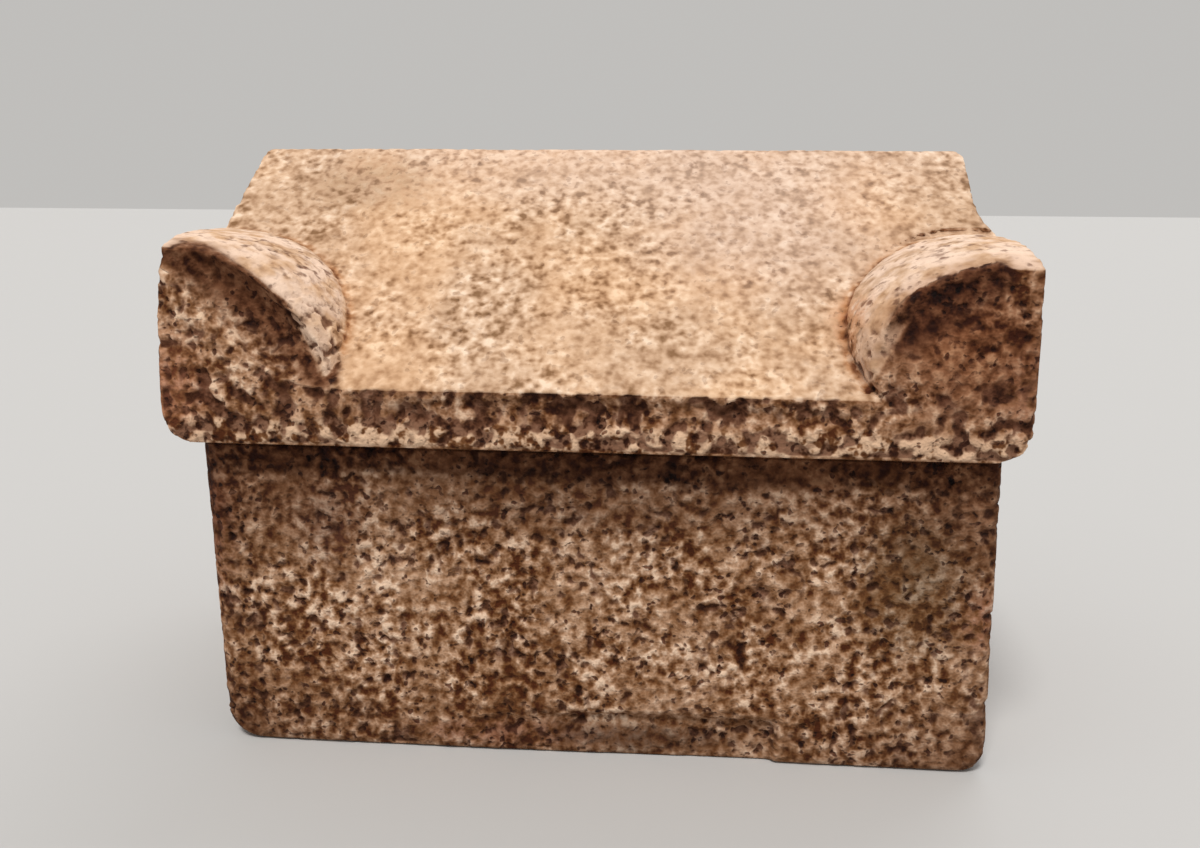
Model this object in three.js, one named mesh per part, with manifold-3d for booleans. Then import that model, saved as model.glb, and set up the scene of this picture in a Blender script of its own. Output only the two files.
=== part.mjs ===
// Small stone sarcophagus: a hollow chest under a loose gabled lid with a quarter-round horn at each corner.
// Millimetres, +Z up. X runs along the length, -Y is the front. The origin is the centre of the lid's plan on
// the ground, and the chest stands on z = 0.

import * as THREE from 'three';
import { mergeVertices } from 'three/addons/utils/BufferGeometryUtils.js';
import Module from 'manifold-3d';

const wasm = await Module();
wasm.setup();

// Driving dimensions of the chest
const chestLength = 764;
const chestDepth = 518;
const chestHeight = 314;
const endWall = 78; // thickness of the two short walls at the rim
const longWall = 70; // thickness of the front and back walls
const floorThickness = 80;
const cavityCorner = 42; // radius of the trough's inner upright corners
const cavityDraft = 8; // how much narrower the trough is at its floor, each side
const chestOffset = 3; // how far the rim sits to the right of the lid's centre
const chestLean = 7; // how much further right the foot stands than the rim
const frontLeftArris = 24; // radii of the worn upright edges
const frontRightArris = 12;
const backArris = 18;
const footRoundLeft = 32; // radii of the worn lower edges
const footRoundRight = 24;
const footRoundSide = 7;

// The spall along the front of the foot, where a flat flake has come away
const spallLeft = -124; // left end, from the middle of the foot
const spallRight = 173; // right end, a broken step
const spallStepLean = 2; // how far the step leans out at its foot
const spallStepHeight = 45;
const spallShoulder = 58; // length over which its upper edge climbs at the left
const spallShoulderHeight = 42;
const spallCrestHeight = 49; // height towards which its upper edge swells in the middle
const spallDepth = 9;
const spallRunOut = 132; // length over which its bed deepens from the left end

// Driving dimensions of the lid
const endOverhang = 21; // how far the lid passes the chest's rim at each end
const sideOverhang = 22; // and at the front and back
const seatGap = 0.3; // clearance between the rim and the lid
const eaveHeight = 56; // upright band below the roof
const ridgeHeight = 285; // lid's underside to its ridge
const ridgeRound = 11; // half width of the blunted ridge
const lipRound = 6; // radius of the band's lower edge
const lidCornerRound = 34; // radius of the end faces' lower edges
const lidUprightRound = 9; // radius of the lid's upright edges
const ridgeEndRound = 11; // radius of the ridge's two ends
const frontLeanLeft = 11; // how far the end faces lean in at the front horns' tops
const frontLeanRight = 5;
const frontLeanFade = 172; // distance behind the front over which they come upright

// How the two gables have worn back above the horns: each draws in by the set back over the given rise, along
// a curve that bends at the given point, measured inward and up from the horns' tops.
const gables = [
  { end: -1, setBack: 10, rise: 76, bendIn: 5, bendUp: 38 },
  { end: 1, setBack: 17, rise: 44, bendIn: 17, bendUp: 15 },
];

// The hollow worn along the middle of the front and back bands
const bandHollowHeight = 31;
const bandHollowDepth = 6;
const bandHollowCentre = 37; // above the lid's underside
const bandHollowReach = 14; // how far it runs past the horns' feet at each end

// Corner horns. Their curve is measured inward from the lid's end and up from the eave: it leaves the eave at
// the foot, swells towards the belly, bends over towards the crown and ends at the rise above the lid's end.
// The wear draws the curve in by the given lengths at the foot, the shoulder and the top, at the outer face
// only, and fades with the given distance behind it. The groove runs where the horn meets the roof.
const horns = {
  frontLeft: {
    end: -1, side: -1, foot: 180, belly: 181, bellyRise: 89, crown: 112, crownRise: 142, rise: 142,
    wornFoot: 25, wornShoulder: 9, wornTop: 17, wearFade: 30, groove: 4,
  },
  frontRight: {
    end: 1, side: -1, foot: 150, belly: 215, bellyRise: 75, crown: 109, crownRise: 160, rise: 141,
    wornFoot: 16, wornShoulder: 8, wornTop: 24, wearFade: 48, groove: 6,
  },
  backLeft: {
    end: -1, side: 1, foot: 170, belly: 170, bellyRise: 82, crown: 100, crownRise: 141, rise: 141,
    wornFoot: 7, wornShoulder: 4, wornTop: 9, wearFade: 30, groove: 4,
  },
  backRight: {
    end: 1, side: 1, foot: 164, belly: 168, bellyRise: 84, crown: 98, crownRise: 141, rise: 141,
    wornFoot: 8, wornShoulder: 4, wornTop: 9, wearFade: 30, groove: 4,
  },
};
const hornRoot = 30; // depth to which a horn is rooted below the eave

// Broken hollows on the horns' front faces. Inward and up give the hollow's middle from the lid's end and the
// eave, along and across are its half sizes, and tilt is the slope of its length in degrees.
const faceHollows = [
  { horn: 'frontLeft', inward: 94, up: 66, along: 99, across: 31, depth: 26, tilt: 40 },
  { horn: 'frontLeft', inward: 34, up: 112, along: 36, across: 12, depth: 12, tilt: 18 },
  { horn: 'frontRight', inward: 84, up: 82, along: 62, across: 30, depth: 11, tilt: 34 },
];

// Derived sizes
const lidLength = chestLength + 2 * endOverhang;
const lidDepth = chestDepth + 2 * sideOverhang;
const lidFloor = chestHeight + seatGap;
const halfLength = lidLength / 2;
const halfDepth = lidDepth / 2;
const roofSlope = (ridgeHeight - eaveHeight) / (halfDepth - ridgeRound / 2);
const hornTop = eaveHeight + Math.max(...Object.values(horns).map((horn) => horn.rise));
const lidTop = Math.max(ridgeHeight, hornTop);
const chestCentre = (level) => chestOffset + chestLean * (1 - level / chestHeight);

// Fineness of round forms
const arcSteps = 7;
const smallArcSteps = 4;
const hornSteps = 12;
const wearSlices = [0, 0.2, 0.45, 0.8, 1.3, 2, 3]; // slices through a horn, as shares of its wearFade
const hollowSegments = 24;
const hollowRings = 14;
const hollowStandOff = 0.25; // how far a hollow's middle lies outside its face, as a share of its depth
const over = 5; // how far a cutting tool passes the face that it cuts

// Solids

function solid(geometry) {
  const bare = geometry.clone();
  bare.deleteAttribute('normal');
  bare.deleteAttribute('uv');
  const merged = mergeVertices(bare, 1e-4);
  return new wasm.Manifold(new wasm.Mesh({
    numProp: 3,
    vertProperties: new Float32Array(merged.attributes.position.array),
    triVerts: new Uint32Array(merged.index.array),
  }));
}

function geometryOf(body) {
  const mesh = body.getMesh();
  const geometry = new THREE.BufferGeometry();
  const positions = new Float32Array(mesh.vertProperties);
  geometry.setAttribute('position', new THREE.BufferAttribute(positions, mesh.numProp));
  geometry.setIndex(new THREE.BufferAttribute(new Uint32Array(mesh.triVerts), 1));
  geometry.computeVertexNormals();
  return geometry;
}

function moveVertices(geometry, place) {
  const position = geometry.attributes.position;
  const point = new THREE.Vector3();
  for (let i = 0; i < position.count; i += 1) {
    point.fromBufferAttribute(position, i);
    place(point);
    position.setXYZ(i, point.x, point.y, point.z);
  }
  return geometry;
}

// Turns every face over, for a form whose vertices have been placed in mirror image.
function turnedOver(geometry) {
  const corners = Array.from({ length: geometry.attributes.position.count }, (_, i) => i);
  const flipped = [];
  for (let i = 0; i < corners.length; i += 3) flipped.push(corners[i], corners[i + 2], corners[i + 1]);
  geometry.setIndex(flipped);
  return geometry;
}

// An outline extruded with a slice at each of the given levels, in place of evenly spaced ones.
function stack(outline, levels, curveSegments = arcSteps) {
  const steps = levels.length - 1;
  const options = { depth: 1, steps, bevelEnabled: false, curveSegments };
  const geometry = new THREE.ExtrudeGeometry(outline, options);
  return moveVertices(geometry, (p) => {
    p.z = levels[Math.round(p.z * steps)];
  });
}

// A rectangle about the origin. The radii are those of its front left, front right, back right and back left
// corners.
function roundedRectangle(length, depth, radii) {
  const [a, b, c, d] = radii;
  const x = length / 2;
  const y = depth / 2;
  const outline = new THREE.Shape();
  outline.moveTo(-x + a, -y);
  outline.lineTo(x - b, -y);
  outline.absarc(x - b, -y + b, b, -Math.PI / 2, 0);
  outline.lineTo(x, y - c);
  outline.absarc(x - c, y - c, c, 0, Math.PI / 2);
  outline.lineTo(-x + d, y);
  outline.absarc(-x + d, y - d, d, Math.PI / 2, Math.PI);
  outline.lineTo(-x, -y + a);
  outline.absarc(-x + a, -y + a, a, Math.PI, 1.5 * Math.PI);
  return outline;
}

// A smooth hollow in a face at y = 0: an ellipsoid with its middle a little outside the face and its length
// tilted.
function hollow({ along, across, depth, tilt }) {
  const ball = new THREE.SphereGeometry(1, hollowSegments, hollowRings);
  ball.scale(along, depth * (1 + hollowStandOff), across);
  ball.translate(0, -depth * hollowStandOff, 0);
  ball.rotateY(THREE.MathUtils.degToRad(tilt));
  return ball;
}

// Chest

function roundingInset(radius, level) {
  if (level >= radius) return 0;
  return radius - Math.sqrt(radius * radius - (radius - level) ** 2);
}

function chestBlock() {
  const arrises = [frontLeftArris, frontRightArris, backArris, backArris];
  const outline = roundedRectangle(chestLength, chestDepth, arrises);
  const tallest = Math.max(footRoundLeft, footRoundRight, footRoundSide);
  const levels = [];
  for (let i = 0; i <= arcSteps; i += 1) {
    levels.push(tallest * (1 - Math.cos((i / arcSteps) * Math.PI / 2)));
  }
  levels.push(chestHeight);
  const block = stack(outline, levels);
  return solid(moveVertices(block, (p) => {
    const endInset = roundingInset(p.x < 0 ? footRoundLeft : footRoundRight, p.z);
    const sideInset = roundingInset(footRoundSide, p.z);
    p.x = p.x * (1 - endInset / (chestLength / 2)) + chestCentre(p.z);
    p.y *= 1 - sideInset / (chestDepth / 2);
  }));
}

function chestCavity() {
  const length = chestLength - 2 * endWall;
  const depth = chestDepth - 2 * longWall;
  const outline = roundedRectangle(length, depth, [cavityCorner, cavityCorner, cavityCorner, cavityCorner]);
  const cavity = stack(outline, [floorThickness, chestHeight, chestHeight + over]);
  return solid(moveVertices(cavity, (p) => {
    const narrowing = p.z > floorThickness ? 0 : cavityDraft;
    p.x = p.x * (1 - narrowing / (length / 2)) + chestCentre(chestHeight / 2);
    p.y *= 1 - narrowing / (depth / 2);
  }));
}

// The flake's bed: its upper edge climbs from the foot at the left, runs level and ends in a step at the
// right. The bed slopes out to nothing at the left and is deepest at the right.
function footSpall() {
  const outline = new THREE.Shape();
  outline.moveTo(spallLeft, -over);
  outline.quadraticCurveTo(spallLeft, spallShoulderHeight, spallLeft + spallShoulder, spallShoulderHeight);
  outline.quadraticCurveTo((spallLeft + spallRight) / 2, spallCrestHeight, spallRight, spallStepHeight);
  outline.lineTo(spallRight + spallStepLean, -over);
  const flake = stack(outline, [0, over + spallDepth]);
  const faceY = -chestDepth / 2;
  return solid(turnedOver(moveVertices(flake, (p) => {
    const share = THREE.MathUtils.smoothstep(p.x, spallLeft - over, spallLeft - over + spallRunOut);
    const bed = p.z > 0 ? faceY + spallDepth * share : faceY - over;
    p.set(p.x + chestCentre(0), bed, p.y);
  })));
}

function chestGeometry() {
  return geometryOf(chestBlock().subtract(chestCavity()).subtract(footSpall()));
}

// Lid. It is worked out with its underside on z = 0 and lifted onto the rim at the end.

// The gable's outline across the lid, with the roof and the ridge lowered by the given amount.
function gableOutline(lowered) {
  const outline = new THREE.Shape();
  const eave = eaveHeight - lowered;
  const shoulder = eave + roofSlope * (halfDepth - ridgeRound);
  const crown = eave + roofSlope * halfDepth;
  outline.moveTo(-halfDepth + lipRound, 0);
  outline.lineTo(halfDepth - lipRound, 0);
  outline.absarc(halfDepth - lipRound, lipRound, lipRound, -Math.PI / 2, 0);
  outline.lineTo(halfDepth, eave);
  outline.lineTo(ridgeRound, shoulder);
  outline.quadraticCurveTo(0, crown, -ridgeRound, shoulder);
  outline.lineTo(-halfDepth, eave);
  outline.lineTo(-halfDepth, lipRound);
  outline.absarc(-halfDepth + lipRound, lipRound, lipRound, Math.PI, 1.5 * Math.PI);
  return outline;
}

function gablePrism(lowered) {
  const prism = stack(gableOutline(lowered), [-halfLength - over, halfLength + over], smallArcSteps);
  return solid(moveVertices(prism, (p) => p.set(p.z, p.x, p.y)));
}

// One horn, enlarged all round by the given margin. It runs from the outer face back into the roof.
function hornSolid(horn, margin) {
  const outline = new THREE.Shape();
  outline.moveTo(-over, -hornRoot);
  outline.lineTo(horn.foot + margin, -hornRoot);
  outline.lineTo(horn.foot + margin, 0);
  outline.bezierCurveTo(
    horn.belly + margin, horn.bellyRise,
    horn.crown, horn.crownRise + margin,
    0, horn.rise + margin,
  );
  outline.lineTo(-over, horn.rise + margin);
  const length = (Math.max(horn.rise, horn.crownRise) + horn.groove) / roofSlope + over;
  const slices = wearSlices.map((share) => share * horn.wearFade).filter((level) => level < length - over);
  const levels = [...slices, length];
  const form = stack(outline, levels, hornSteps);
  moveVertices(form, (p) => {
    const turn = Math.atan2(Math.max(p.y, 0) / horn.rise, Math.max(p.x, 0) / horn.foot);
    const worn = (horn.wornFoot / horn.foot) * Math.cos(turn) ** 2
      + (horn.wornTop / horn.rise) * Math.sin(turn) ** 2
      + (horn.wornShoulder / horn.rise) * Math.sin(2 * turn) ** 2;
    const keep = 1 - worn * Math.exp(-p.z / horn.wearFade);
    const inward = p.x > 0 ? p.x * keep : p.x;
    const up = p.y > 0 ? p.y * keep : p.y;
    p.set(horn.end * (halfLength - inward), horn.side * (halfDepth - p.z), eaveHeight + up);
  });
  return solid(horn.end * horn.side > 0 ? turnedOver(form) : form);
}

// The block that the lid is cut from, as seen from the front: its lower corners are rounded, and its end
// faces lean in towards the front horns' tops.
function elevationPrism() {
  const outline = new THREE.Shape();
  const top = lidTop + over;
  const r = lidCornerRound;
  outline.moveTo(-halfLength + r, 0);
  outline.lineTo(halfLength - r, 0);
  outline.absarc(halfLength - r, r, r, -Math.PI / 2, 0);
  outline.lineTo(halfLength, hornTop);
  outline.lineTo(halfLength, top);
  outline.lineTo(-halfLength, top);
  outline.lineTo(-halfLength, hornTop);
  outline.lineTo(-halfLength, r);
  outline.absarc(-halfLength + r, r, r, Math.PI, 1.5 * Math.PI);
  const prism = stack(outline, [-halfDepth - over, -halfDepth + frontLeanFade, halfDepth + over]);
  return solid(turnedOver(moveVertices(prism, (p) => {
    const height = THREE.MathUtils.clamp((p.y - r) / (hornTop - r), 0, 1);
    const lean = (p.x < 0 ? frontLeanLeft : -frontLeanRight) * height;
    p.set(p.z < -halfDepth ? p.x + lean : p.x, p.z, p.y);
  })));
}

// A cutter that runs from front to back at one end of the lid. Its outline is drawn inward and up from the
// lid's end.
function endCutter(outline, end) {
  const cutter = stack(outline, [-halfDepth - over, halfDepth + over]);
  moveVertices(cutter, (p) => p.set(end * (halfLength - p.x), p.z, p.y));
  return solid(end < 0 ? turnedOver(cutter) : cutter);
}

function gableWear(gable) {
  const top = Math.max(lidTop, hornTop + gable.rise) + over;
  const outline = new THREE.Shape();
  outline.moveTo(-over, hornTop);
  outline.lineTo(0, hornTop);
  outline.quadraticCurveTo(gable.bendIn, hornTop + gable.bendUp, gable.setBack, hornTop + gable.rise);
  outline.lineTo(gable.setBack, top);
  outline.lineTo(-over, top);
  return endCutter(outline, gable.end);
}

function ridgeEnd(gable) {
  const r = ridgeEndRound;
  const outline = new THREE.Shape();
  outline.moveTo(gable.setBack - over, ridgeHeight - r);
  outline.lineTo(gable.setBack, ridgeHeight - r);
  outline.absarc(gable.setBack + r, ridgeHeight - r, r, Math.PI, Math.PI / 2, true);
  outline.lineTo(gable.setBack + r, ridgeHeight + over);
  outline.lineTo(gable.setBack - over, ridgeHeight + over);
  return endCutter(outline, gable.end);
}

function planPrism() {
  const r = lidUprightRound;
  const outline = roundedRectangle(lidLength, lidDepth, [r, r, r, r]);
  return solid(stack(outline, [-over, lidTop + over], smallArcSteps));
}

function bandHollow(side) {
  const inner = Object.values(horns).filter((horn) => horn.side === side);
  const left = -halfLength + inner.find((horn) => horn.end < 0).foot;
  const right = halfLength - inner.find((horn) => horn.end > 0).foot;
  const along = (right - left) / 2 + bandHollowReach;
  const form = hollow({ along, across: bandHollowHeight / 2, depth: bandHollowDepth, tilt: 0 });
  if (side > 0) form.rotateZ(Math.PI);
  form.translate((left + right) / 2, side * halfDepth, bandHollowCentre);
  return solid(form);
}

function faceHollow(place) {
  const horn = horns[place.horn];
  const form = hollow({ ...place, tilt: -horn.end * place.tilt });
  form.translate(horn.end * (halfLength - place.inward), horn.side * halfDepth, eaveHeight + place.up);
  return solid(form);
}

function lidGeometry() {
  let body = gablePrism(0);
  for (const gable of gables) body = body.subtract(gableWear(gable)).subtract(ridgeEnd(gable));
  for (const horn of Object.values(horns)) {
    body = body.subtract(hornSolid(horn, horn.groove).subtract(gablePrism(horn.groove)));
  }
  for (const horn of Object.values(horns)) body = body.add(hornSolid(horn, 0));
  body = body.intersect(elevationPrism()).intersect(planPrism());
  for (const side of [-1, 1]) body = body.subtract(bandHollow(side));
  for (const place of faceHollows) body = body.subtract(faceHollow(place));
  return geometryOf(body);
}

// Materials and scene graph

const chestStone = new THREE.MeshStandardMaterial({ color: 0x8d6b52, roughness: 0.95, metalness: 0 });
chestStone.name = 'chest_stone';
const lidStone = new THREE.MeshStandardMaterial({ color: 0xd6b28c, roughness: 0.92, metalness: 0 });
lidStone.name = 'lid_stone';

const chest = new THREE.Mesh(chestGeometry(), chestStone);
chest.name = 'chest';

const lid = new THREE.Mesh(lidGeometry(), lidStone);
lid.name = 'lid';
lid.position.z = lidFloor;

const group = new THREE.Group();
group.add(chest, lid);

export default group;
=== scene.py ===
"""Looks of a small stone sarcophagus: a pitted chest under a loose gabled lid with four corner horns.

Metres, +Z up, -Y is the front. Each stone starts as a merged copy of its solid, is remeshed finely enough to
hold pits and chips, is worn by displacement that only takes stone away, and gets a procedural finish.
"""

import logging
import math
from dataclasses import dataclass
from enum import Enum

import bpy
import numpy as np
from mathutils import Matrix, Vector, kdtree, noise


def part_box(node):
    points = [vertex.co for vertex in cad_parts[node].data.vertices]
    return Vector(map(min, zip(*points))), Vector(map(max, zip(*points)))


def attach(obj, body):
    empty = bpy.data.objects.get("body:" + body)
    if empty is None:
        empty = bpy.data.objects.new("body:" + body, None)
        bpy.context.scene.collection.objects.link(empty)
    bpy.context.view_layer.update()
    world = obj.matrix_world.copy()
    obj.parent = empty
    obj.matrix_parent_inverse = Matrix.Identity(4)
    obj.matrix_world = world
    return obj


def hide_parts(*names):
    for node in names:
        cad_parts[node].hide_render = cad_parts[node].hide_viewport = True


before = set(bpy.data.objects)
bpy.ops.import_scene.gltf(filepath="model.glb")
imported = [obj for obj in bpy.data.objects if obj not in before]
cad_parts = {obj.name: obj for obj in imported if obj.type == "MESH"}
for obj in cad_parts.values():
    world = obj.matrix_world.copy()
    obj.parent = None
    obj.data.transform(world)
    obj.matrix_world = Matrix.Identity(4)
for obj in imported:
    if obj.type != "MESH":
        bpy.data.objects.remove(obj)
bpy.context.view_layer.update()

LOG = logging.getLogger("sarcophagus")
Number = float | int
Colour = tuple[float, float, float]
Band = tuple[float, float]
MIDDLE = 0.5  # the value that a noise varies about
SPOT_CORE = 0.15  # share of a stain's radii within which it has its full strength


def srgb(red: int, green: int, blue: int) -> Colour:
    """Turns a display colour into the linear one that a shader takes.

    Args:
        red, green, blue: the display colour, 0 to 255.

    Returns:
        The same colour in linear light.
    """
    def linear(channel: int) -> float:
        """Linear value of one display channel."""
        share = channel / 255
        return share / 12.92 if share <= 0.04045 else ((share + 0.055) / 1.055) ** 2.4

    return linear(red), linear(green), linear(blue)


def select(piece: bpy.types.Object) -> None:
    """Selects one object alone and makes it the active one."""
    bpy.ops.object.select_all(action="DESELECT")
    piece.select_set(True)
    bpy.context.view_layer.objects.active = piece


def finish_with(piece: bpy.types.Object, kind: str, **settings: object) -> None:
    """Adds a modifier to a piece and applies it.

    Args:
        piece: the object.
        kind: the modifier's type.
        settings: the modifier's properties.
    """
    select(piece)
    bpy.ops.object.modifier_add(type=kind)
    modifier = piece.modifiers[-1]
    for name, value in settings.items():
        setattr(modifier, name, value)
    bpy.ops.object.modifier_apply(modifier=modifier.name)


def points_of(piece: bpy.types.Object) -> np.ndarray:
    """Vertex positions of a mesh, one row each."""
    rows = np.empty(len(piece.data.vertices) * 3, np.float32)
    piece.data.vertices.foreach_get("co", rows)
    return rows.reshape(-1, 3)


def normals_of(piece: bpy.types.Object) -> np.ndarray:
    """Vertex normals of a mesh, one row each."""
    rows = np.empty(len(piece.data.vertices) * 3, np.float32)
    piece.data.vertex_normals.foreach_get("vector", rows)
    return rows.reshape(-1, 3)


def place_points(piece: bpy.types.Object, rows: np.ndarray) -> None:
    """Moves a mesh's vertices to the given rows."""
    piece.data.vertices.foreach_set("co", rows.astype(np.float32).ravel())
    piece.data.update()


def ramp(values: np.ndarray, low: float, high: float) -> np.ndarray:
    """Smooth step from 0 at low to 1 at high, for arrays. High may be the smaller one."""
    share = np.clip((values - low) / (high - low), 0, 1)
    return share * share * (3 - 2 * share)


def drift(rows: np.ndarray, width: float, seed: Number) -> np.ndarray:
    """Slow noise at each point.

    Args:
        rows: points in metres.
        width: width of its hills, in metres.
        seed: moves the pattern, so that two of them differ.

    Returns:
        A value from about 0 to 1 for each point.
    """
    shift = Vector((seed, seed * 1.7, seed * 2.3))
    return np.array([MIDDLE + 0.5 * noise.noise(Vector(row) / width + shift) for row in rows])


class Basis(Enum):
    """Kinds of noise that a wear texture can follow."""

    PERLIN = "ORIGINAL_PERLIN"
    IMPROVED = "IMPROVED_PERLIN"


@dataclass(frozen=True)
class Wear:
    """One kind of wear, which takes stone away.

    The noise is at full depth below the first stop and at the surface above the second.
    """

    name: str
    group: str
    width: float
    depth: float
    stops: tuple[float, float]
    basis: Basis = Basis.PERLIN
    creased: bool = False
    octaves: int = 1

    def texture(self) -> bpy.types.Texture:
        """Makes the noise that drives this wear.

        Returns:
            The texture, black where stone is lost.
        """
        made = bpy.data.textures.new(self.name, "CLOUDS")
        made.noise_scale = self.width
        made.noise_depth = self.octaves
        made.noise_basis = self.basis.value
        made.noise_type = "HARD_NOISE" if self.creased else "SOFT_NOISE"
        made.use_color_ramp = True
        for stop, position, level in zip(made.color_ramp.elements, self.stops, (0.0, 1.0)):
            stop.position = position
            stop.color = (level, level, level, 1)
        made.color_ramp.interpolation = "EASE"
        return made

    def apply(self, piece: bpy.types.Object) -> None:
        """Wears the piece, within this wear's vertex group."""
        finish_with(
            piece, "DISPLACE", texture=self.texture(), texture_coords="LOCAL", direction="NORMAL",
            strength=self.depth, mid_level=1.0, vertex_group=self.group,
        )


class Socket:
    """An output socket of a node, so that shader maths reads as an expression."""

    def __init__(self, tree: "Graph", socket: bpy.types.NodeSocket) -> None:
        """Keeps the graph and the socket."""
        self.tree = tree
        self.socket = socket

    def __add__(self, other: "Socket | Number") -> "Socket":
        """Sum."""
        return self.tree.math("ADD", self, other)

    def __sub__(self, other: "Socket | Number") -> "Socket":
        """Difference."""
        return self.tree.math("SUBTRACT", self, other)

    def __rsub__(self, other: Number) -> "Socket":
        """Difference from a number."""
        return self.tree.math("SUBTRACT", other, self)

    def __mul__(self, other: "Socket | Number") -> "Socket":
        """Product."""
        return self.tree.math("MULTIPLY", self, other)

    __radd__ = __add__


class Graph:
    """The nodes of one material."""

    def __init__(self, name: str) -> None:
        """Starts an empty material that has a Principled shader and an output."""
        self.material = bpy.data.materials.new(name)
        self.material.use_nodes = True
        self.nodes = self.material.node_tree.nodes
        self.links = self.material.node_tree.links
        self.nodes.clear()
        self.shader = self.nodes.new("ShaderNodeBsdfPrincipled")
        output = self.nodes.new("ShaderNodeOutputMaterial")
        self.links.new(self.shader.outputs[0], output.inputs["Surface"])
        self.point = self.node("ShaderNodeTexCoord", output="Object")

    def node(
        self, kind: str, settings: dict | None = None, inputs: dict | None = None, output: str | int = 0,
    ) -> Socket:
        """Adds a node.

        Args:
            kind: the node's type.
            settings: its properties, set first, with a ramp's stops under "stops".
            inputs: a value or a socket for each named or numbered input.
            output: which of its outputs to return.

        Returns:
            The chosen output.
        """
        made = self.nodes.new(kind)
        for name, value in (settings or {}).items():
            if name == "stops":
                self.set_stops(made.color_ramp, value)
            else:
                setattr(made, name, value)
        for name, value in (inputs or {}).items():
            if isinstance(value, Socket):
                self.links.new(value.socket, made.inputs[name])
            else:
                made.inputs[name].default_value = value
        return Socket(self, made.outputs[output])

    @staticmethod
    def set_stops(colour_ramp: bpy.types.ColorRamp, stops: list[tuple[float, Colour]]) -> None:
        """Gives a colour ramp its stops.

        Args:
            colour_ramp: the ramp.
            stops: position and colour of each, in rising order.
        """
        while len(colour_ramp.elements) < len(stops):
            colour_ramp.elements.new(1.0)
        for element, (position, colour) in zip(colour_ramp.elements, stops):
            element.position = position
            element.color = (*colour, 1)

    def math(self, operation: str, first: Socket | Number, second: Socket | Number = 0.0) -> Socket:
        """One step of arithmetic on values."""
        return self.node("ShaderNodeMath", {"operation": operation}, {0: first, 1: second})

    def step(self, value: Socket, low: float, high: float) -> Socket:
        """Smooth step of a value, from 0 at low to 1 at high. High may be the smaller one."""
        return self.node(
            "ShaderNodeMapRange", {"interpolation_type": "SMOOTHSTEP"},
            {"Value": value, "From Min": low, "From Max": high},
        )

    def noise(
        self, width: float, octaves: float = 2, roughness: float = 0.5, at: Socket | None = None,
    ) -> Socket:
        """Noise whose hills are as wide as given.

        Args:
            width: width of a hill in metres.
            octaves: how many finer layers lie on it.
            roughness: how strong those are.
            at: where it is read, the object's own coordinates if left out.

        Returns:
            A value about 0.5.
        """
        return self.node(
            "ShaderNodeTexNoise", {},
            {"Vector": at or self.point, "Scale": 1 / width, "Detail": octaves, "Roughness": roughness},
            "Fac",
        )

    def mix(self, share: Socket | Number, first: Socket | Colour, second: Socket | Colour,
            blend: str = "MIX") -> Socket:
        """Mixes two colours.

        Args:
            share: how much of the second.
            first, second: colours or sockets.
            blend: how they are mixed.

        Returns:
            The mixed colour.
        """
        def filled(colour: Socket | Colour) -> Socket | tuple:
            """A socket as it is, and a colour with its alpha."""
            return colour if isinstance(colour, Socket) else (*colour, 1)

        settings = {"data_type": "RGBA", "blend_type": blend}
        return self.node("ShaderNodeMix", settings, {0: share, 6: filled(first), 7: filled(second)}, 2)

    def tones(self, value: Socket, stops: list[tuple[float, Colour]]) -> Socket:
        """A colour for each value, from a ramp's stops."""
        return self.node("ShaderNodeValToRGB", {"stops": stops}, {"Fac": value}, "Color")

    def attribute(self, name: str) -> Socket:
        """A value that the mesh holds at each vertex."""
        return self.node("ShaderNodeAttribute", {"attribute_name": name}, output="Fac")

    def swirled(self, width: float, reach: float) -> Socket:
        """The object's coordinates pushed about, so that what is read there has no straight rows.

        Args:
            width: width of a swirl in metres.
            reach: how far a point is pushed, in metres.

        Returns:
            The pushed coordinates.
        """
        push = self.node(
            "ShaderNodeTexNoise", {}, {"Vector": self.point, "Scale": 1 / width, "Detail": 2.0}, "Color",
        )
        scaled = self.node("ShaderNodeVectorMath", {"operation": "SCALE"}, {0: push, "Scale": reach})
        return self.node("ShaderNodeVectorMath", {"operation": "ADD"}, {0: self.point, 1: scaled})

    def spot(self, centre: Colour, radii: Colour) -> Socket:
        """A soft ellipsoid in the object's coordinates.

        Args:
            centre: its middle, in metres.
            radii: its half sizes, in metres.

        Returns:
            1 within its core, falling to 0 at its rim.
        """
        offset = self.node("ShaderNodeVectorMath", {"operation": "SUBTRACT"}, {0: self.point, 1: centre})
        scaled = self.node("ShaderNodeVectorMath", {"operation": "DIVIDE"}, {0: offset, 1: radii})
        length = self.node("ShaderNodeVectorMath", {"operation": "LENGTH"}, {0: scaled}, "Value")
        return self.step(length, 1.0, SPOT_CORE)


@dataclass(frozen=True)
class StainAndShade:
    """A patch of another tone, broken up by the stone's crumbs as far as it isn't even: stains and painted
    shade.
    """

    centre: Colour
    radii: Colour
    colour: Colour
    strength: float
    even: float = 0.0
    blend: str = "MIX"


@dataclass(frozen=True)
class Widths:
    """Widths of the stone's noises in metres."""

    broad: float = 0.13
    dense: float = 0.055
    mottle: float = 0.028
    swirl: float = 0.016
    spot: float = 0.0105
    crumb: float = 0.0098
    speck: float = 0.0098
    pore: float = 0.0068
    grit: float = 0.0034


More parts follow.
